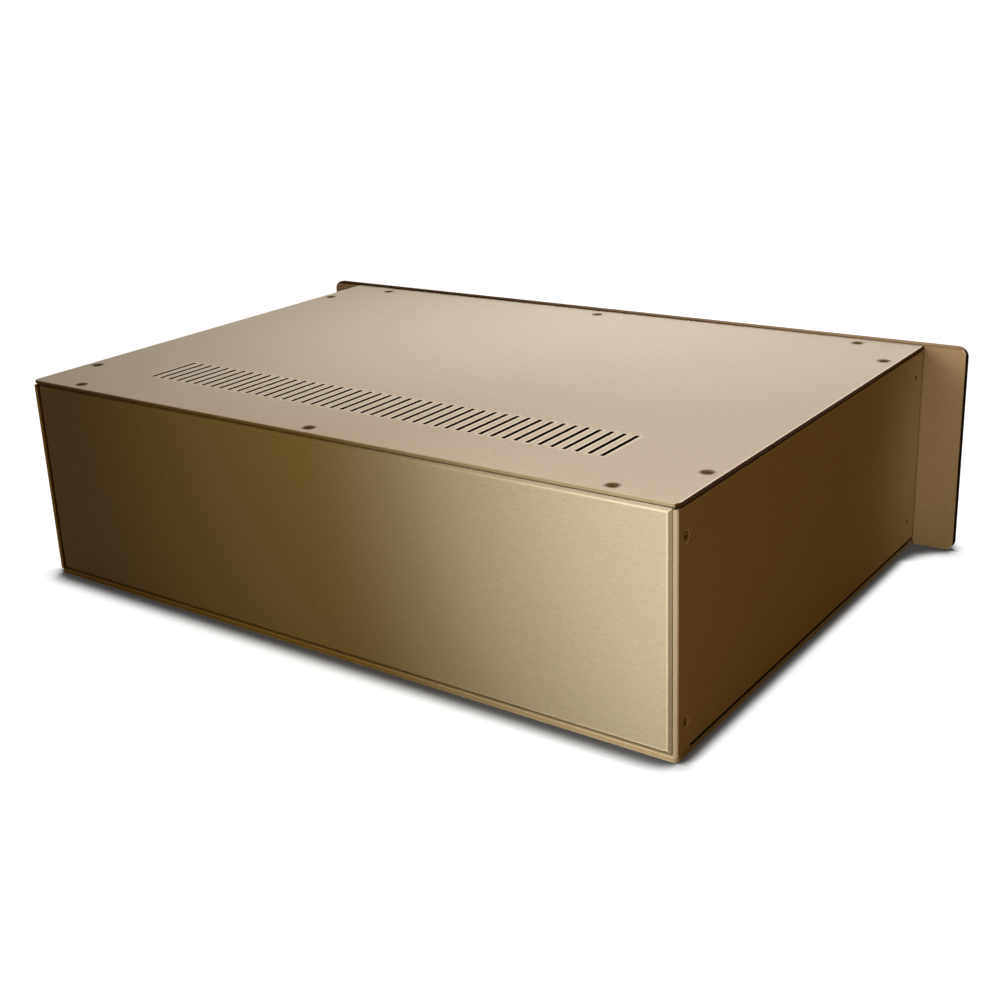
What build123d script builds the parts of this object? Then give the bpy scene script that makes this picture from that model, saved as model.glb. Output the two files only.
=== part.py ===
from build123d import *

import os

# An amplifier chassis of aluminium plates screwed to an inner frame of bars, in millimetres.
# X runs across it, the front panel faces -Y, Z is up, and it stands on Z = 0.
# Left and right are as seen by someone in front of it, so the left side is at -X.

# Body, without the front panel
body_width = 430.0
body_depth = 300.0
body_height = 124.0

# Front panel, and how far it stands out past the body on each side and above it
front_panel_side_overhang = 25.0
front_panel_top_overhang = 1.2
front_panel_thickness = 4.0
front_panel_corner_radius = 6.0

# Plates of the body
cover_thickness = 2.0
bottom_thickness = 3.0
side_thickness = 2.5
rear_panel_thickness = 3.0
sheet_corner_radius = 3.0
edge_break = 0.3
side_panel_bevel = 0.5
rear_panel_bevel = 1.5

# Gaps that show as dark lines between the plates
panel_top_gap = 0.9
rear_panel_side_gap = 1.15
rear_panel_bottom_gap = 0.3

# Air slit under each side panel, closed at the rear by a land that stands on the bottom plate
slit_height = 1.1
slit_land_length = 11.5

# Vent slots in the cover
slot_length = 34.5
slot_width = 2.3
slot_pitch = 7.0
slot_rear_margin = 39.3
slot_side_margin = 60.0

# Frame of bars behind the plates
post_width = 11.0
front_bar_depth = 20.0
rear_bar_depth = 8.0
rail_height = 12.0

# Places of the screws, from the edges of the piece that they go through
corner_screw_inset = 36.0
side_row_front_inset = 42.5
side_row_rear_inset = 42.0
side_screw_top_inset = 17.0
side_screw_bottom_inset = 17.8
panel_screw_inset = 35.0
end_screw_offset = 2.4

# Countersunk screws, and how far each kind reaches past the piece that it holds
screw_radius = 1.5
head_radius = 2.9
head_sink = 0.1
recess_span = 3.2
recess_width = 0.7
recess_depth = 1.1
recess_turn_step = 37.0
plate_screw_grip = 5.5
end_screw_grip = 9.0
front_panel_screw_grip = 2.5
rear_panel_screw_grip = 1.8

# Clearances round the screws, and the spare depth of a blind hole
shank_clearance = 0.2
head_clearance = 0.05
thread_clearance = 0.05
blind_hole_spare = 0.5

# Radii of the holes
clearance_hole_radius = screw_radius + shank_clearance
countersink_radius = head_radius + head_sink + head_clearance
threaded_hole_radius = screw_radius + thread_clearance

# Size of the front panel
front_panel_width = body_width + 2 * front_panel_side_overhang
front_panel_height = body_height + front_panel_top_overhang

# Planes that the pieces share
body_front_y = (front_panel_thickness - body_depth) / 2
body_rear_y = body_front_y + body_depth
cover_under_z = body_height - cover_thickness
panel_top_z = cover_under_z - panel_top_gap
side_inner_x = body_width / 2 - side_thickness
post_inner_x = side_inner_x - post_width
post_middle_x = side_inner_x - post_width / 2
front_bar_inner_y = body_front_y + front_bar_depth
front_bar_middle_y = body_front_y + front_bar_depth / 2
rear_panel_inner_y = body_rear_y - rear_panel_thickness
rear_bar_inner_y = rear_panel_inner_y - rear_bar_depth
rear_bar_middle_y = rear_panel_inner_y - rear_bar_depth / 2

# Directions that a face or a screw's head can look in
up, down = (0, 0, 1), (0, 0, -1)
forward, back = (0, -1, 0), (0, 1, 0)
leftward, rightward = (-1, 0, 0), (1, 0, 0)


def block(x_span, y_span, z_span):
    """A square-edged bar or plate that fills a span along each axis."""
    spans = (x_span, y_span, z_span)
    size = [high - low for low, high in spans]
    middle = [(low + high) / 2 for low, high in spans]
    return Pos(*middle) * Box(*size)


def bevelled(plate, direction, bevel):
    """The plate with a bevel round its face that looks in one direction."""
    face = plate.faces().sort_by(Axis((0, 0, 0), direction))[-1]
    return chamfer(face.edges(), bevel)


def turned(points):
    """A solid of revolution about Z, from the radius and height of each corner of its half section."""
    outline = Polyline([(radius, 0, height) for radius, height in points], close=True)
    return revolve(make_face(outline), Axis.Z)


def screw_place(x, y, z, direction):
    """A frame at a screw's mouth, with its Z axis pointing out of the surface."""
    x_direction = (1, 0, 0) if direction in (up, down) else (0, 0, 1)
    return Plane(origin=(x, y, z), x_dir=x_direction, z_dir=direction).location


def countersunk_hole(thickness):
    """The cutter for a clearance hole through a thickness, with its countersink at the mouth."""
    cone_depth = countersink_radius - clearance_hole_radius
    return turned([(0, 0), (countersink_radius, 0), (clearance_hole_radius, -cone_depth),
                   (clearance_hole_radius, -thickness), (0, -thickness)])


def threaded_hole(start, grip):
    """The cutter for a blind threaded hole that starts below the piece that the screw holds."""
    depth = grip + blind_hole_spare
    return Pos(0, 0, -start - depth / 2) * Cylinder(threaded_hole_radius, depth)


def screw(length, turn):
    """A countersunk screw whose head lies just below its mouth, with its cross recess turned."""
    head_depth = head_radius - screw_radius
    body = turned([(0, 0), (head_radius, 0), (screw_radius, -head_depth),
                   (screw_radius, -length), (0, -length)])
    arm = Pos(0, 0, -recess_depth / 2) * Box(recess_span, recess_width, recess_depth)
    return Pos(0, 0, -head_sink) * Rot(0, 0, turn) * (body - arm - Rot(0, 0, 90) * arm)


def fasten(pieces, held, holders, places, thickness, grip):
    """Drill the held pieces and their holders at every place, and return the screws that go in."""
    for name in held:
        pieces[name] -= [place * countersunk_hole(thickness) for place in places]
    for name in holders:
        pieces[name] -= [place * threaded_hole(thickness, grip) for place in places]
    length = thickness + grip - head_sink
    screws = [place * screw(length, recess_turn_step * index) for index, place in enumerate(places)]
    return Compound(children=screws)


def front_panel():
    """A wide plate with rounded corners, broken edges and no opening."""
    outline = RectangleRounded(front_panel_width, front_panel_height, front_panel_corner_radius)
    middle = Plane(origin=(0, body_front_y, front_panel_height / 2), x_dir=rightward, z_dir=forward)
    plate = extrude(middle * outline, front_panel_thickness)
    return bevelled(bevelled(plate, forward, edge_break), back, edge_break)


def rear_panel():
    """A blank plate with a broad bevel round its outer face."""
    half_width = side_inner_x - rear_panel_side_gap
    plate = block((-half_width, half_width), (rear_panel_inner_y, body_rear_y),
                  (bottom_thickness + rear_panel_bottom_gap, panel_top_z))
    return bevelled(plate, back, rear_panel_bevel)


def side_panel(outward):
    """A bevelled plate with the air slit along its lower edge, on the left if outward is -1."""
    outer_x = body_width / 2
    plate = block((side_inner_x, outer_x), (body_front_y, body_rear_y), (bottom_thickness, panel_top_z))
    plate = bevelled(plate, rightward, side_panel_bevel)
    slit = Rectangle(body_depth - slit_land_length, slit_height, align=Align.MIN)
    slit = fillet(slit.vertices().group_by(Axis.Y)[-1].sort_by(Axis.X)[-1], slit_height / 2)
    lower_edge = Plane(origin=(side_inner_x, body_front_y, bottom_thickness), x_dir=back, z_dir=rightward)
    plate -= extrude(lower_edge * slit, side_thickness)
    return plate if outward > 0 else mirror(plate, Plane.YZ)


def body_sheet(low_z, thickness):
    """The outline that the cover and the bottom plate share, with its rear corners rounded."""
    outline = Pos(0, (body_front_y + body_rear_y) / 2) * Rectangle(body_width, body_depth)
    outline = fillet(outline.vertices().group_by(Axis.Y)[-1], sheet_corner_radius)
    sheet = extrude(Pos(0, 0, low_z) * outline, thickness)
    return bevelled(bevelled(sheet, up, edge_break), down, edge_break)


def vent_slots():
    """The cutter for the row of long square-ended slots across the cover."""
    count = int((body_width - 2 * slot_side_margin) / slot_pitch) + 1
    middle_y = body_rear_y - slot_rear_margin - slot_length / 2
    slots = GridLocations(slot_pitch, 0, count, 1) * Rectangle(slot_width, slot_length)
    return extrude(Pos(0, middle_y, cover_under_z) * Sketch(children=slots), cover_thickness)


def frame_bars():
    """Four posts in the corners, with rails between them under the cover and on the bottom plate."""
    bars = {}
    sides = {"left": -1, "right": 1}
    bar_spans = {"front": (body_front_y, front_bar_inner_y), "rear": (rear_bar_inner_y, rear_panel_inner_y)}
    rail_spans = {"top": (cover_under_z - rail_height, cover_under_z),
                  "bottom": (bottom_thickness, bottom_thickness + rail_height)}
    for side, outward in sides.items():
        x_span = sorted((outward * post_inner_x, outward * side_inner_x))
        for end, y_span in bar_spans.items():
            bars[f"{end}_{side}_post"] = block(x_span, y_span, (bottom_thickness, cover_under_z))
        for level, z_span in rail_spans.items():
            bars[f"{side}_{level}_rail"] = block(x_span, (front_bar_inner_y, rear_bar_inner_y), z_span)
    for end, y_span in bar_spans.items():
        for level, z_span in rail_spans.items():
            bars[f"{end}_{level}_rail"] = block((-post_inner_x, post_inner_x), y_span, z_span)
    return bars


def sheet_screw_places(z, direction):
    """Three screws along the front and the rear of the cover or the bottom plate, and two on each side."""
    corner_x = body_width / 2 - corner_screw_inset
    side_row_y = (body_front_y + side_row_front_inset, body_rear_y - side_row_rear_inset)
    points = [(x, y) for y in (front_bar_middle_y, rear_bar_middle_y) for x in (-corner_x, 0, corner_x)]
    points += [(x, y) for x in (-post_middle_x, post_middle_x) for y in side_row_y]
    return [screw_place(x, y, z, direction) for x, y in points]


def side_screw_places(outward, direction):
    """Two screws through the side panel into each post."""
    levels = (side_screw_bottom_inset, body_height - side_screw_top_inset)
    return [screw_place(outward * body_width / 2, y, z, direction)
            for y in (front_bar_middle_y, rear_bar_middle_y) for z in levels]


def panel_screw_places(bar_inner_y, direction):
    """Two screws through each post into the front or rear panel, put in from inside the chassis."""
    levels = (bottom_thickness + panel_screw_inset, cover_under_z - panel_screw_inset)
    return [screw_place(x, bar_inner_y, z, direction)
            for x in (-post_middle_x, post_middle_x) for z in levels]


def rail_end_levels(nearer_sheet):
    """Heights of the end screws of one kind of rail, which pass the other kind's inside the post."""
    offset = end_screw_offset if nearer_sheet else -end_screw_offset
    return (bottom_thickness + rail_height / 2 - offset, cover_under_z - rail_height / 2 + offset)


def cross_rail_screw_places():
    """Screws through the outer face of each post into the ends of the front and rear rails."""
    return [screw_place(outward * side_inner_x, y, z, direction)
            for outward, direction in ((-1, leftward), (1, rightward))
            for y in (front_bar_middle_y, rear_bar_middle_y) for z in rail_end_levels(nearer_sheet=True)]


def side_rail_screw_places(y, direction):
    """Screws through the front or rear face of each post into the ends of the side rails."""
    return [screw_place(x, y, z, direction)
            for x in (-post_middle_x, post_middle_x) for z in rail_end_levels(nearer_sheet=False)]


def chassis():
    """Every piece of the chassis by its name."""
    pieces = {"front_panel": front_panel(), "rear_panel": rear_panel(),
              "left_side_panel": side_panel(-1), "right_side_panel": side_panel(1),
              "top_cover": body_sheet(cover_under_z, cover_thickness) - vent_slots(),
              "bottom_plate": body_sheet(0, bottom_thickness)}
    bars = frame_bars()
    pieces.update(bars)
    posts = [name for name in bars if name.endswith("_post")]
    top_rails = [name for name in bars if name.endswith("_top_rail")]
    bottom_rails = [name for name in bars if name.endswith("_bottom_rail")]
    cross_rails = [name for name in bars if name.startswith(("front", "rear")) and name not in posts]
    side_rails = [name for name in bars if name.startswith(("left", "right"))]
    screws = {
        "top_cover_screws": fasten(pieces, ["top_cover"], top_rails,
                                   sheet_screw_places(body_height, up), cover_thickness, plate_screw_grip),
        "bottom_plate_screws": fasten(pieces, ["bottom_plate"], bottom_rails,
                                      sheet_screw_places(0, down), bottom_thickness, plate_screw_grip),
        "left_side_screws": fasten(pieces, ["left_side_panel"], ["front_left_post", "rear_left_post"],
                                   side_screw_places(-1, leftward), side_thickness, plate_screw_grip),
        "right_side_screws": fasten(pieces, ["right_side_panel"], ["front_right_post", "rear_right_post"],
                                    side_screw_places(1, rightward), side_thickness, plate_screw_grip),
        "front_panel_screws": fasten(pieces, ["front_left_post", "front_right_post"], ["front_panel"],
                                     panel_screw_places(front_bar_inner_y, back),
                                     front_bar_depth, front_panel_screw_grip),
        "rear_panel_screws": fasten(pieces, ["rear_left_post", "rear_right_post"], ["rear_panel"],
                                    panel_screw_places(rear_bar_inner_y, forward),
                                    rear_bar_depth, rear_panel_screw_grip),
        "cross_rail_screws": fasten(pieces, posts, cross_rails, cross_rail_screw_places(),
                                    post_width, end_screw_grip),
        "front_side_rail_screws": fasten(pieces, ["front_left_post", "front_right_post"], side_rails,
                                         side_rail_screw_places(body_front_y, forward),
                                         front_bar_depth, end_screw_grip),
        "rear_side_rail_screws": fasten(pieces, ["rear_left_post", "rear_right_post"], side_rails,
                                        side_rail_screw_places(rear_panel_inner_y, back),
                                        rear_bar_depth, end_screw_grip),
    }
    return pieces | screws


os.makedirs("parts", exist_ok=True)
for name, piece in chassis().items():
    export_step(piece, f"parts/{name}.step")
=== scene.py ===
import math

import bpy
from mathutils import Matrix, Vector

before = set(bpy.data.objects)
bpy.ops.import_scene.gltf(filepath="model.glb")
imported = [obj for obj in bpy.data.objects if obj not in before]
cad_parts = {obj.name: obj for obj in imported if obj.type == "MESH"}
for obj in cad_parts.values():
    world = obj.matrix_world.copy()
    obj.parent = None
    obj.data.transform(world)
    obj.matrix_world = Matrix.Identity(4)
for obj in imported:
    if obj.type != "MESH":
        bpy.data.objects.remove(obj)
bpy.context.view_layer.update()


def reach(node, axis):
    """The least and the greatest place of a CAD node along an axis, in metres."""
    places = [vertex.co["XYZ".index(axis)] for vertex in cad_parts[node].data.vertices]
    return min(places), max(places)


# Camera, in metres and degrees. The heading turns from +Y towards +X.
camera_place = (-0.4723, 0.6364, 0.3304)
camera_heading = 142.98
camera_pitch = -18.67
camera_roll = -2.72
focal_length_px = 1386.8
image_size_px = 1000
principal_point_px = (469.8, 461.3)
sensor_width_mm = 36.0

# Colours of the finish, with painted light and shade on the side panels' ends, the cover's end faces and
# the screws
rear_champagne = (0.435, 0.41, 0.335, 1)
side_champagne = (0.56, 0.455, 0.31, 1)
# Painted shade and a painted highlight for the side panels' end faces, blended along X
side_end_painted_shade = (0.36, 0.31, 0.23, 1)
side_end_painted_highlight = (0.95, 0.90, 0.75, 1)
front_champagne = (0.52, 0.405, 0.26, 1)
sheet_champagne = (0.575, 0.515, 0.43, 1)
# Painted shade for the cover's end faces
sheet_end_painted_shade = (0.30, 0.265, 0.18, 1)
base_champagne = (0.42, 0.355, 0.235, 1)
champagne_sheen = (1.0, 0.86, 0.60, 1)
bar_brown = (0.15, 0.10, 0.048, 1)
# A lit and a shaded copy of one screw coating: the darker is painted shade on the cover and bottom screws
bronze = (0.44, 0.35, 0.21, 1)
bronze_painted_dark = (0.10, 0.065, 0.03, 1)

# Colours of painted highlights and glints on the edges, and of painted shade on edges, in the seams and on
# the inside
painted_edge_highlight = (0.96, 0.90, 0.76, 1)
painted_sheet_highlight = (0.88, 0.82, 0.72, 1)
sheet_side_painted_shade = (0.115, 0.052, 0.014, 1)
painted_screw_ring_shadow = (0.06, 0.038, 0.018, 1)
screw_edge_painted_glint = (0.95, 0.84, 0.58, 1)
screw_edge_painted_dim_glint = (0.50, 0.38, 0.20, 1)
front_edge_painted_shade = (0.02, 0.015, 0.01, 1)
front_edge_painted_dim = (0.075, 0.042, 0.02, 1)
front_edge_painted_lit = (0.36, 0.27, 0.17, 1)
seam_painted_shade_brown = (0.055, 0.034, 0.015, 1)
seam_painted_shade_tan = (0.24, 0.195, 0.125, 1)
seam_painted_shade_dark = (0.02, 0.013, 0.006, 1)
painted_inside_shade = (0.012, 0.010, 0.008, 1)

# Grain, in features a metre
brush_lines = 1800.0
brush_ends = 380.0
speckle_count = 1100.0
milling_count = 300.0
screw_grain_count = 1500.0

# What a grain does to a metal: tints and roughness at its two ends, and the strength of its relief
plate_grain = {"tints": (0.90, 1.09), "roughness": (0.30, 0.46), "relief": 0.3}
sheet_grain = {"tints": (0.93, 1.07), "roughness": (0.42, 0.58), "relief": 0.25}
bar_grain = {"tints": (0.8, 1.0), "roughness": (0.4, 0.6), "relief": 0.2}
screw_grain = {"tints": (0.7, 1.0), "roughness": (0.22, 0.4), "relief": 0.0}
stroke_share = 0.6
speckle_share = 0.4
relief_depth = 0.00005
faint_gloss = 0.02
no_gloss = 0.0

# The brushed plates, with the width of their painted edge highlight lines in metres, and the painted shade
# of their lower and upper seams
rear_look = {"colour": rear_champagne, "along": "X", "highlight_width": 0.0014,
             "seams": (seam_painted_shade_dark, seam_painted_shade_tan), "gloss": faint_gloss}
front_look = {"colour": front_champagne, "along": "X", "highlight_width": 0.0010,
              "seams": (seam_painted_shade_brown, seam_painted_shade_brown), "gloss": no_gloss}
side_look = {"colour": side_champagne, "along": "Y", "highlight_width": 0.0005,
             "seams": (seam_painted_shade_dark, seam_painted_shade_brown), "gloss": no_gloss}

# Widths of the painted highlight, glint and shadow lines along the other edges, in metres
base_highlight_width = 0.0006
sheet_highlight_width = 0.0010
sheet_highlight_blur = 0.0002
screw_ring_width = 0.0032
screw_edge_width = 0.0004

# Shade in seams and slots by faces within a distance in metres, between two shares of open view
seam_shade = {"distance": 0.0022, "closed": 0.35, "clear": 0.65}
slot_shade = {"distance": 0.0045, "closed": 0.66, "clear": 0.94}
shade_samples = 3

# Outline of the body, the part of the cover that has the slots, and the slit under the sides, in metres
body_half_width = reach("top_cover", "X")[1]
body_front_y, body_rear_y = reach("top_cover", "Y")
body_top = reach("top_cover", "Z")[1]
front_half_width = reach("front_panel", "X")[1]
slot_row_half = (0.17, 0.022)
slot_row_middle_y = body_rear_y - 0.0565
slit_top = reach("bottom_plate", "Z")[1] + 0.0011
slit_rear_y = body_rear_y - 0.0115

# Where painted light and shade give way from one look to another, its start and its end, in metres. Picture
# right is at -X.
highlight_change_x = (-0.05, -0.19)
seam_shade_change_z = (0.05, 0.08)
front_edge_shading_change_x = (0.08, -0.22)
front_top_change_z = (body_top, body_top - 0.0004)
side_end_light_change_x = (-0.1, 0.1)
behind_change_y = (body_rear_y - 0.004, body_rear_y + 0.002)
before_change_y = (body_front_y + 0.03, body_front_y + 0.02)

# Distances from an outline at which painted light and shade start and are full, in metres
front_end_line = (0.0008, 0.0004)
slit_lip_rise = (0.0008, 0.0005)
slit_end_gap = 0.0005
slot_rim_gap = 0.001
screw_ring_inset = (0.003, 0.004)
base_inside_inset = (0.0028, 0.0032)

# Rounding of the plates' edges, in metres and degrees
edge_rounding = 0.00025
least_rounded_angle = 35

# Stage
white = (1, 1, 1, 1)
floor_radius = 12.0
floor_white = (0.30, 0.33, 0.39, 1)
floor_bounce = (0.13, 0.078, 0.024, 1)
contact_shade = (0.05, 0.055, 0.065, 1)
contact_width = {"beside": 0.0105, "behind": 0.020}
contact_range = {"closed": 0.60, "clear": 0.99}
contact_least_light = 0.042
contact_samples = 16
world_fill = (0.145, 0.077, 0.016, 1)

# Lamp colours
warm_light = (1, 0.70, 0.23)
kick_light = (1, 0.90, 0.70)
flange_light = (1, 0.89, 0.68)


def new_material(name):
    """An empty node material that has an output, with its node tree and its surface shader."""
    material = bpy.data.materials.new(name)
    material.use_nodes = True
    tree = material.node_tree
    tree.nodes.clear()
    output = tree.nodes.new("ShaderNodeOutputMaterial")
    shader = tree.nodes.new("ShaderNodeBsdfPrincipled")
    tree.links.new(shader.outputs["BSDF"], output.inputs["Surface"])
    return material, tree, shader


def maths(tree, operation, first, second=0.0):
    """A sum on one or two values, each a number or a socket."""
    node = tree.nodes.new("ShaderNodeMath")
    node.operation = operation
    for index, value in enumerate((first, second)):
        if isinstance(value, float):
            node.inputs[index].default_value = value
        else:
            tree.links.new(value, node.inputs[index])
    return node.outputs[0]


def blend(tree, factor, low, high):
    """A mix of two colours by a factor, each colour a constant or a socket."""
    node = tree.nodes.new("ShaderNodeMix")
    node.data_type = "RGBA"
    tree.links.new(factor, node.inputs[0])
    for index, colour in ((6, low), (7, high)):
        if isinstance(colour, tuple):
            node.inputs[index].default_value = colour
        else:
            tree.links.new(colour, node.inputs[index])
    return node.outputs[2]


def spread(tree, factor, low, high):
    """A factor from 0 to 1, mapped to a range."""
    node = tree.nodes.new("ShaderNodeMapRange")
    node.inputs["To Min"].default_value = low
    node.inputs["To Max"].default_value = high
    tree.links.new(factor, node.inputs["Value"])
    return node.outputs["Result"]


def between(tree, value, start, full):
    """A factor that goes from 0 to 1 as a value goes from a start to a place where it is full."""
    node = tree.nodes.new("ShaderNodeMapRange")
    node.inputs["From Min"].default_value = start
    node.inputs["From Max"].default_value = full
    tree.links.new(value, node.inputs["Value"])
    return node.outputs["Result"]


def component(tree, kind, axis):
    """One component of a piece's own coordinates or of its surface's direction."""
    place = tree.nodes.new("ShaderNodeTexCoord")
    parts = tree.nodes.new("ShaderNodeSeparateXYZ")
    tree.links.new(place.outputs[kind], parts.inputs[0])
    return parts.outputs[axis]


def facing(tree, axis, start=0.55, full=0.85):
    """A factor that is 1 where the surface looks along an axis, either way."""
    return between(tree, maths(tree, "ABSOLUTE", component(tree, "Normal", axis)), start, full)


def at_edge(tree, width, start=0.997, full=0.965):
    """A factor that is 1 along a piece's sharp edges and 0 beyond a width from them."""
    rounded = tree.nodes.new("ShaderNodeBevel")
    rounded.samples = shade_samples
    rounded.inputs["Radius"].default_value = width
    surface = tree.nodes.new("ShaderNodeNewGeometry")
    likeness = tree.nodes.new("ShaderNodeVectorMath")
    likeness.operation = "DOT_PRODUCT"
    tree.links.new(rounded.outputs["Normal"], likeness.inputs[0])
    tree.links.new(surface.outputs["Normal"], likeness.inputs[1])
    return between(tree, likeness.outputs["Value"], start, full)


def in_the_open(tree, distance, closed, clear):
    """A factor that is 0 where other faces lie within a distance, and 1 in the open."""
    around = tree.nodes.new("ShaderNodeAmbientOcclusion")
    around.samples = shade_samples
    around.inputs["Distance"].default_value = distance
    return between(tree, around.outputs["AO"], closed, clear)


def stretched_noise(tree, counts, detail=2.0):
    """Noise in the piece's own coordinates, with a number of features a metre along each axis."""
    place = tree.nodes.new("ShaderNodeTexCoord")
    mapping = tree.nodes.new("ShaderNodeMapping")
    mapping.inputs["Scale"].default_value = counts
    noise = tree.nodes.new("ShaderNodeTexNoise")
    noise.inputs["Scale"].default_value = 1.0
    noise.inputs["Detail"].default_value = detail
    tree.links.new(place.outputs["Object"], mapping.inputs["Vector"])
    tree.links.new(mapping.outputs["Vector"], noise.inputs["Vector"])
    return noise.outputs["Fac"]


def even_noise(tree, count, detail=2.0):
    """Noise with the same number of features a metre along every axis."""
    return stretched_noise(tree, (count, count, count), detail)


def tinted(colour, factor):
    """A colour made darker or lighter by a factor."""
    return (colour[0] * factor, colour[1] * factor, colour[2] * factor, 1)


def grained(tree, shader, grain, look, colour, gloss, start=0.3, end=0.7):
    """A colour tinted by a grain, on a shader whose roughness and relief follow the grain."""
    tree.links.new(spread(tree, grain, *look["roughness"]), shader.inputs["Roughness"])
    shader.inputs["Specular IOR Level"].default_value = gloss
    shader.inputs["Specular Tint"].default_value = champagne_sheen
    relief = tree.nodes.new("ShaderNodeBump")
    relief.inputs["Strength"].default_value = look["relief"]
    relief.inputs["Distance"].default_value = relief_depth
    tree.links.new(grain, relief.inputs["Height"])
    tree.links.new(relief.outputs["Normal"], shader.inputs["Normal"])
    ramp = tree.nodes.new("ShaderNodeValToRGB")
    tree.links.new(grain, ramp.inputs["Fac"])
    for element, position, tint in zip(ramp.color_ramp.elements, (start, end), look["tints"]):
        element.position = position
        element.color = tinted(colour, tint)
    return ramp.outputs["Color"]


def brushed_aluminium(name, colour, along, highlight_width, seams, gloss):
    """Champagne anodised plate with a short, fine brushed grain along one axis, and its colour so far.

    Its sharp edges have a painted highlight line, which fades out towards +X on the plates brushed along X.
    Its seams have painted shade, in one colour low down and another higher up.
    """
    material, tree, shader = new_material(name)
    counts = [brush_lines, brush_lines, brush_lines]
    counts["XYZ".index(along)] = brush_ends
    strokes = spread(tree, stretched_noise(tree, counts), 0.0, stroke_share)
    speckle = spread(tree, even_noise(tree, speckle_count), 0.0, speckle_share)
    grain = maths(tree, "ADD", strokes, speckle)
    surface = grained(tree, shader, grain, plate_grain, colour, gloss)
    # Painted highlight along the sharp edges, faded out towards +X on plates brushed along X
    shine = at_edge(tree, highlight_width)
    if along == "X":
        shown = between(tree, component(tree, "Object", "X"), *highlight_change_x)
        shine = maths(tree, "MULTIPLY", shine, shown)
    surface = blend(tree, shine, surface, painted_edge_highlight)
    # Painted shade in the seams, in one colour low down and another higher up
    seam = blend(tree, between(tree, component(tree, "Object", "Z"), *seam_shade_change_z), *seams)
    surface = blend(tree, in_the_open(tree, **seam_shade), seam, surface)
    return material, tree, shader, surface


def rear_plate(name):
    """The rear panel's brushed plate, with a faint gloss."""
    material, tree, shader, surface = brushed_aluminium(name, **rear_look)
    tree.links.new(surface, shader.inputs["Base Color"])
    return material


def front_plate(name):
    """The front panel's brushed plate, with painted light and shade on its edges, brown growing lighter
    towards -X, and painted shade on its dark ends.
    """
    material, tree, shader, surface = brushed_aluminium(name, **front_look)
    across = component(tree, "Object", "X")
    # Painted light and shade on the edge faces: brown growing lighter towards -X, and darkest on the faces
    # that look along X
    lighter = between(tree, across, *front_edge_shading_change_x)
    edge = blend(tree, lighter, front_edge_painted_dim, front_edge_painted_lit)
    edge = blend(tree, facing(tree, "X"), edge, front_edge_painted_shade)
    below_top = between(tree, component(tree, "Object", "Z"), *front_top_change_z)
    face = maths(tree, "MULTIPLY", facing(tree, "Y"), below_top)
    surface = blend(tree, face, edge, surface)
    # Painted shade on the panel's ends
    start, full = (front_half_width - inset for inset in front_end_line)
    at_end = between(tree, maths(tree, "ABSOLUTE", across), start, full)
    surface = blend(tree, at_end, surface, front_edge_painted_shade)
    tree.links.new(surface, shader.inputs["Base Color"])
    return material


def side_plate(name):
    """A side panel's brushed plate, with painted shade on its ends at -X and a painted highlight on them at
    +X, and painted shade on the lip above its slit.
    """
    material, tree, shader, surface = brushed_aluminium(name, **side_look)
    # Painted shade on the end faces at -X and a painted highlight on them at +X
    far = between(tree, component(tree, "Object", "X"), *side_end_light_change_x)
    end = blend(tree, far, side_end_painted_shade, side_end_painted_highlight)
    surface = blend(tree, facing(tree, "Y"), surface, end)
    # Painted shade on the lip just above the slit
    start, full = (slit_top + rise for rise in slit_lip_rise)
    low = between(tree, component(tree, "Object", "Z"), start, full)
    ahead = between(tree, component(tree, "Object", "Y"), slit_rear_y, slit_rear_y - slit_end_gap)
    surface = blend(tree, maths(tree, "MULTIPLY", low, ahead), surface, painted_inside_shade)
    tree.links.new(surface, shader.inputs["Base Color"])
    return material


def satin_aluminium(name, colour):
    """Champagne anodised sheet with a fine matt grain, and its colour before any edge is shown."""
    material, tree, shader = new_material(name)
    grain = even_noise(tree, speckle_count, detail=3.0)
    surface = grained(tree, shader, grain, sheet_grain, colour, faint_gloss)
    return material, tree, shader, surface


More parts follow.
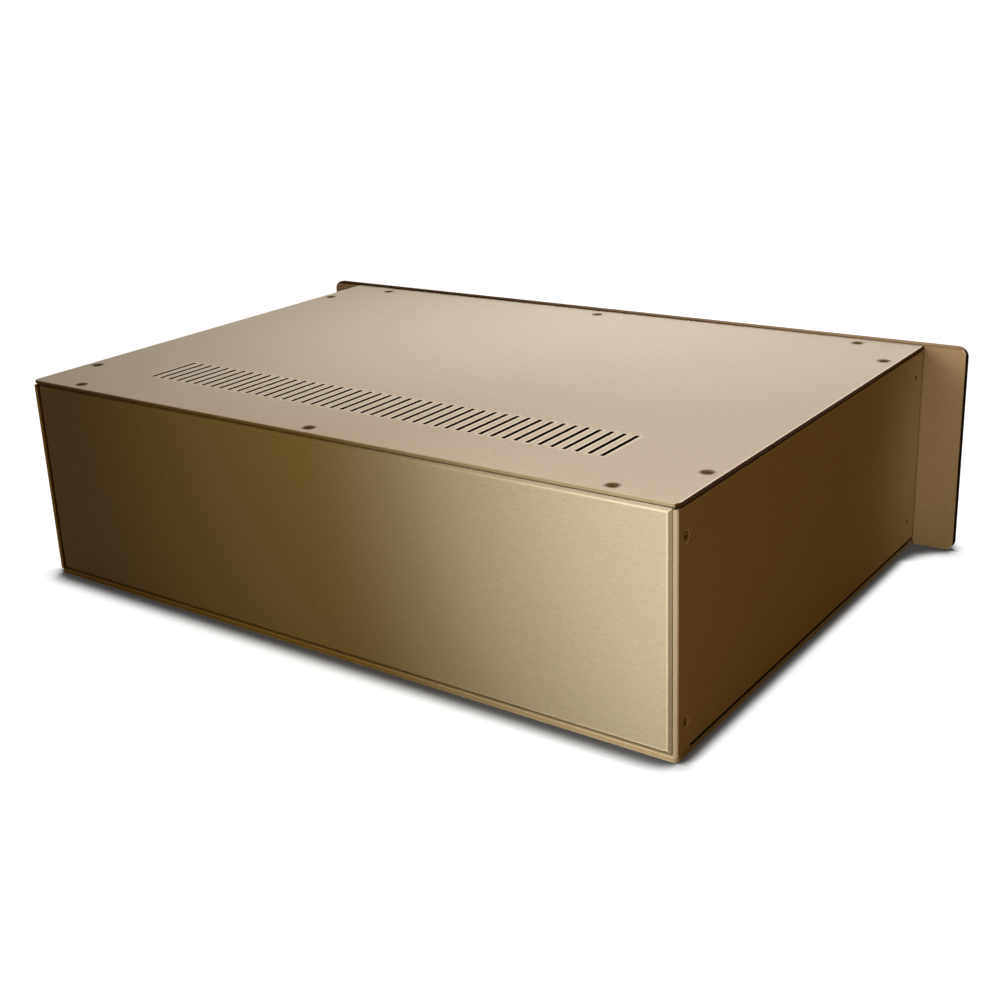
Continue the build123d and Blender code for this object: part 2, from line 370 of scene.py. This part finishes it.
def cover_sheet(name):
    """The cover's satin sheet, with painted highlight lines at its side and front and on the slot rims,
    painted shadow rings at the screws, and painted shade on its end and side faces and in the slots.
    """
    material, tree, shader, surface = satin_aluminium(name, sheet_champagne)
    from_middle = maths(tree, "ABSOLUTE", component(tree, "Object", "X"))
    deep = component(tree, "Object", "Y")
    from_row = maths(tree, "ABSOLUTE", maths(tree, "SUBTRACT", deep, slot_row_middle_y))
    # Painted highlight on the slot rims and painted shadow rings around the screws
    beside_row = between(tree, from_middle, slot_row_half[0], slot_row_half[0] + slot_rim_gap)
    off_row = between(tree, from_row, slot_row_half[1], slot_row_half[1] + slot_rim_gap)
    rim = blend(tree, maths(tree, "MAXIMUM", beside_row, off_row), painted_sheet_highlight, painted_screw_ring_shadow)
    start, full = screw_ring_inset
    from_side = between(tree, from_middle, body_half_width - start, body_half_width - full)
    from_rear = between(tree, deep, body_rear_y - start, body_rear_y - full)
    from_front = between(tree, deep, body_front_y + start, body_front_y + full)
    inset = maths(tree, "MINIMUM", from_side, maths(tree, "MINIMUM", from_rear, from_front))
    edge = at_edge(tree, screw_ring_width, start=0.9995, full=0.99)
    surface = blend(tree, maths(tree, "MULTIPLY", edge, inset), surface, rim)
    # Painted highlight lines along the side and front edges
    side_line = body_half_width - sheet_highlight_width
    front_line = body_front_y + sheet_highlight_width
    at_side = between(tree, from_middle, side_line - sheet_highlight_blur, side_line + sheet_highlight_blur)
    at_front = between(tree, deep, front_line + sheet_highlight_blur, front_line - sheet_highlight_blur)
    surface = blend(tree, maths(tree, "MAXIMUM", at_side, at_front), surface, painted_sheet_highlight)
    # Painted shade on the end faces that look along Y
    surface = blend(tree, facing(tree, "Y"), surface, sheet_end_painted_shade)
    # Painted shade on the side faces, and painted inside shade on the slot walls
    wall = blend(tree, at_side, painted_inside_shade, sheet_side_painted_shade)
    surface = blend(tree, facing(tree, "X", start=0.3, full=0.5), surface, wall)
    # Painted shade in the slots, where other faces lie near
    surface = blend(tree, in_the_open(tree, **slot_shade), painted_inside_shade, surface)
    tree.links.new(surface, shader.inputs["Base Color"])
    return material


def base_sheet(name):
    """The bottom plate's satin sheet, with painted shade inside and a painted highlight line at its front
    and rear edges.
    """
    material, tree, shader, surface = satin_aluminium(name, base_champagne)
    # Painted shade on the upward faces inside the chassis
    upward = between(tree, component(tree, "Normal", "Z"), start=0.6, full=0.9)
    start, full = (body_rear_y - inset for inset in base_inside_inset)
    off_rear = between(tree, component(tree, "Object", "Y"), start, full)
    surface = blend(tree, maths(tree, "MULTIPLY", upward, off_rear), surface, painted_inside_shade)
    # Painted highlight line along the front and rear edges
    line = maths(tree, "MULTIPLY", at_edge(tree, base_highlight_width), facing(tree, "Y"))
    surface = blend(tree, line, surface, painted_sheet_highlight)
    tree.links.new(surface, shader.inputs["Base Color"])
    return material


def milled_bar(name):
    """Brown anodised bar with faint milling marks."""
    material, tree, shader = new_material(name)
    marks = even_noise(tree, milling_count, detail=4.0)
    surface = grained(tree, shader, marks, bar_grain, bar_brown, no_gloss)
    tree.links.new(surface, shader.inputs["Base Color"])
    return material


def bronzed_steel(name, colour, edge):
    """Screw steel with a bronze-coloured coating, with a painted glint at its edges and painted shade in
    the recess.
    """
    material, tree, shader = new_material(name)
    marks = even_noise(tree, screw_grain_count, detail=3.0)
    surface = grained(tree, shader, marks, screw_grain, colour, no_gloss)
    # Painted glint along the edges and painted shade in the recess
    surface = blend(tree, at_edge(tree, screw_edge_width), surface, edge)
    surface = blend(tree, in_the_open(tree, **seam_shade), painted_inside_shade, surface)
    tree.links.new(surface, shader.inputs["Base Color"])
    return material


def soften(node):
    """Round the sharp edges of a CAD node a little."""
    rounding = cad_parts[node].modifiers.new("rounding", "BEVEL")
    rounding.width = edge_rounding
    rounding.segments = 2
    rounding.limit_method = "ANGLE"
    rounding.angle_limit = math.radians(least_rounded_angle)
    rounding.harden_normals = False


def dress(node, material):
    """Give a CAD node its material in every slot."""
    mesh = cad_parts[node].data
    mesh.materials.clear()
    mesh.materials.append(material)


def background_rays(tree):
    """A factor that is 1 on the rays that see the background: camera, glossy and transmission."""
    path = tree.nodes.new("ShaderNodeLightPath")
    seen = maths(tree, "MAXIMUM", path.outputs["Is Camera Ray"], path.outputs["Is Glossy Ray"])
    return maths(tree, "MAXIMUM", seen, path.outputs["Is Transmission Ray"])


def make_world():
    """A white background, with a dim warm fill on the object."""
    world = bpy.data.worlds.new("studio")
    bpy.context.scene.world = world
    world.use_nodes = True
    tree = world.node_tree
    tree.nodes.clear()
    output = tree.nodes.new("ShaderNodeOutputWorld")
    background = tree.nodes.new("ShaderNodeBackground")
    colour = blend(tree, background_rays(tree), world_fill, white)
    tree.links.new(colour, background.inputs["Color"])
    tree.links.new(background.outputs["Background"], output.inputs["Surface"])


def make_floor():
    """A floor that looks white, with the object's shadow and a soft painted contact shadow where the object
    stands.

    The painted contact shadow is wider behind and in front of the body than beside it.
    """
    bpy.ops.mesh.primitive_circle_add(vertices=96, radius=floor_radius, fill_type="NGON")
    floor = bpy.context.object
    floor.name = "floor"
    material, tree, shader = new_material("pale_floor")
    # Painted contact shadow from the nearness of the object, wider behind and in front of the body
    deep = component(tree, "Object", "Y")
    behind = between(tree, deep, *behind_change_y)
    before = between(tree, deep, *before_change_y)
    beyond_ends = maths(tree, "MAXIMUM", behind, before)
    width = spread(tree, beyond_ends, contact_width["beside"], contact_width["behind"])
    contact = tree.nodes.new("ShaderNodeAmbientOcclusion")
    contact.samples = contact_samples
    tree.links.new(width, contact.inputs["Distance"])
    light = tree.nodes.new("ShaderNodeMapRange")
    light.interpolation_type = "SMOOTHSTEP"
    light.inputs["From Min"].default_value = contact_range["closed"]
    light.inputs["From Max"].default_value = contact_range["clear"]
    light.inputs["To Min"].default_value = contact_least_light
    tree.links.new(contact.outputs["AO"], light.inputs["Value"])
    seen = background_rays(tree)
    seen_colour = blend(tree, light.outputs["Result"], contact_shade, floor_white)
    tree.links.new(blend(tree, seen, floor_bounce, seen_colour), shader.inputs["Base Color"])
    glow = maths(tree, "MULTIPLY", seen, light.outputs["Result"])
    tree.links.new(glow, shader.inputs["Emission Strength"])
    shader.inputs["Emission Color"].default_value = white
    shader.inputs["Roughness"].default_value = 1.0
    shader.inputs["Specular IOR Level"].default_value = no_gloss
    floor.data.materials.append(material)


def softbox(name, place, aim, size, radiance, beam, colour=(1, 1, 1)):
    """A rectangular lamp aimed at a point, with the radiance of its face and the angle of its beam."""
    lamp = bpy.data.lights.new(name, "AREA")
    lamp.color = colour
    lamp.shape = "RECTANGLE"
    lamp.size, lamp.size_y = size
    lamp.energy = radiance * math.pi * size[0] * size[1]
    lamp.spread = math.radians(beam)
    holder = bpy.data.objects.new(name, lamp)
    holder.location = place
    holder.rotation_euler = (Vector(aim) - Vector(place)).to_track_quat("-Z", "Y").to_euler()
    holder.visible_camera = False
    bpy.context.scene.collection.objects.link(holder)


def make_lamps():
    """Two lamps behind, one above, two small ones at the front panel's end at -X, and two weak fills."""
    softbox("overhead", place=(0.0, -0.14, 0.62), aim=(-0.05, -0.12, 0.12), size=(0.25, 0.25),
            radiance=4.68, beam=110.0)
    softbox("rear_key", place=(0.0, 0.60, 0.30), aim=(-1.8, 0.152, 0.06), size=(0.4, 0.25),
            radiance=14.4, beam=128.0)
    softbox("rear_warm", place=(0.0, 0.75, 0.30), aim=(-1.3, 0.152, 0.06), size=(0.8, 0.3),
            radiance=1.89, beam=140.0, colour=warm_light)
    softbox("side_kick", place=(-0.275, -0.140, 0.062), aim=(-0.215, -0.140, 0.062), size=(0.010, 0.12),
            radiance=0.80, beam=130.0, colour=kick_light)
    softbox("flange_kick", place=(-0.30, 1.2, 0.10), aim=(-0.235, -0.15, 0.06), size=(0.05, 0.1),
            radiance=2.84, beam=20.0, colour=flange_light)
    softbox("front_fill", place=(-0.10, -1.2, 0.30), aim=(0.0, -0.15, 0.05), size=(0.4, 0.3),
            radiance=5.0, beam=120.0)
    softbox("right_fill", place=(1.2, 0.05, 0.30), aim=(0.215, 0.05, 0.05), size=(0.3, 0.3),
            radiance=5.0, beam=120.0)


def make_camera():
    """The photograph's view, with its principal point as a small shift."""
    camera = bpy.data.cameras.new("camera")
    camera.sensor_width = sensor_width_mm
    camera.lens = focal_length_px * sensor_width_mm / image_size_px
    camera.shift_x = 0.5 - principal_point_px[0] / image_size_px
    camera.shift_y = principal_point_px[1] / image_size_px - 0.5
    camera.clip_start = 0.01
    camera.clip_end = 100.0
    heading, pitch = math.radians(camera_heading), math.radians(camera_pitch)
    ahead = math.cos(pitch)
    view = Vector((math.sin(heading) * ahead, math.cos(heading) * ahead, math.sin(pitch)))
    holder = bpy.data.objects.new("camera", camera)
    level = view.to_track_quat("-Z", "Y").to_matrix().to_4x4()
    roll = Matrix.Rotation(math.radians(camera_roll), 4, "Z")
    holder.matrix_world = Matrix.Translation(camera_place) @ level @ roll
    bpy.context.scene.collection.objects.link(holder)
    bpy.context.scene.camera = holder


def dress_chassis():
    """The finish of every piece, and rounded edges on the plates other than the cover."""
    side = side_plate("brushed_side")
    bar = milled_bar("milled_bar")
    screw = bronzed_steel("bronzed_screw", bronze, screw_edge_painted_glint)
    # The cover and bottom screws get the darker copy of the coating: painted shade
    screw_painted_dark = bronzed_steel("bronzed_screw_painted_dark", bronze_painted_dark, screw_edge_painted_dim_glint)
    plates = {"front_panel": front_plate("brushed_front"), "rear_panel": rear_plate("brushed_rear"),
              "left_side_panel": side, "right_side_panel": side,
              "top_cover": cover_sheet("satin_cover"), "bottom_plate": base_sheet("satin_base")}
    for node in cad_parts:
        if node in plates:
            dress(node, plates[node])
            if node != "top_cover":
                soften(node)
        elif node in ("top_cover_screws", "bottom_plate_screws"):
            dress(node, screw_painted_dark)
        elif node.endswith("_screws"):
            dress(node, screw)
        else:
            dress(node, bar)


make_camera()
make_world()
make_floor()
make_lamps()
dress_chassis()

bpy.context.scene.view_settings.view_transform = "Standard"
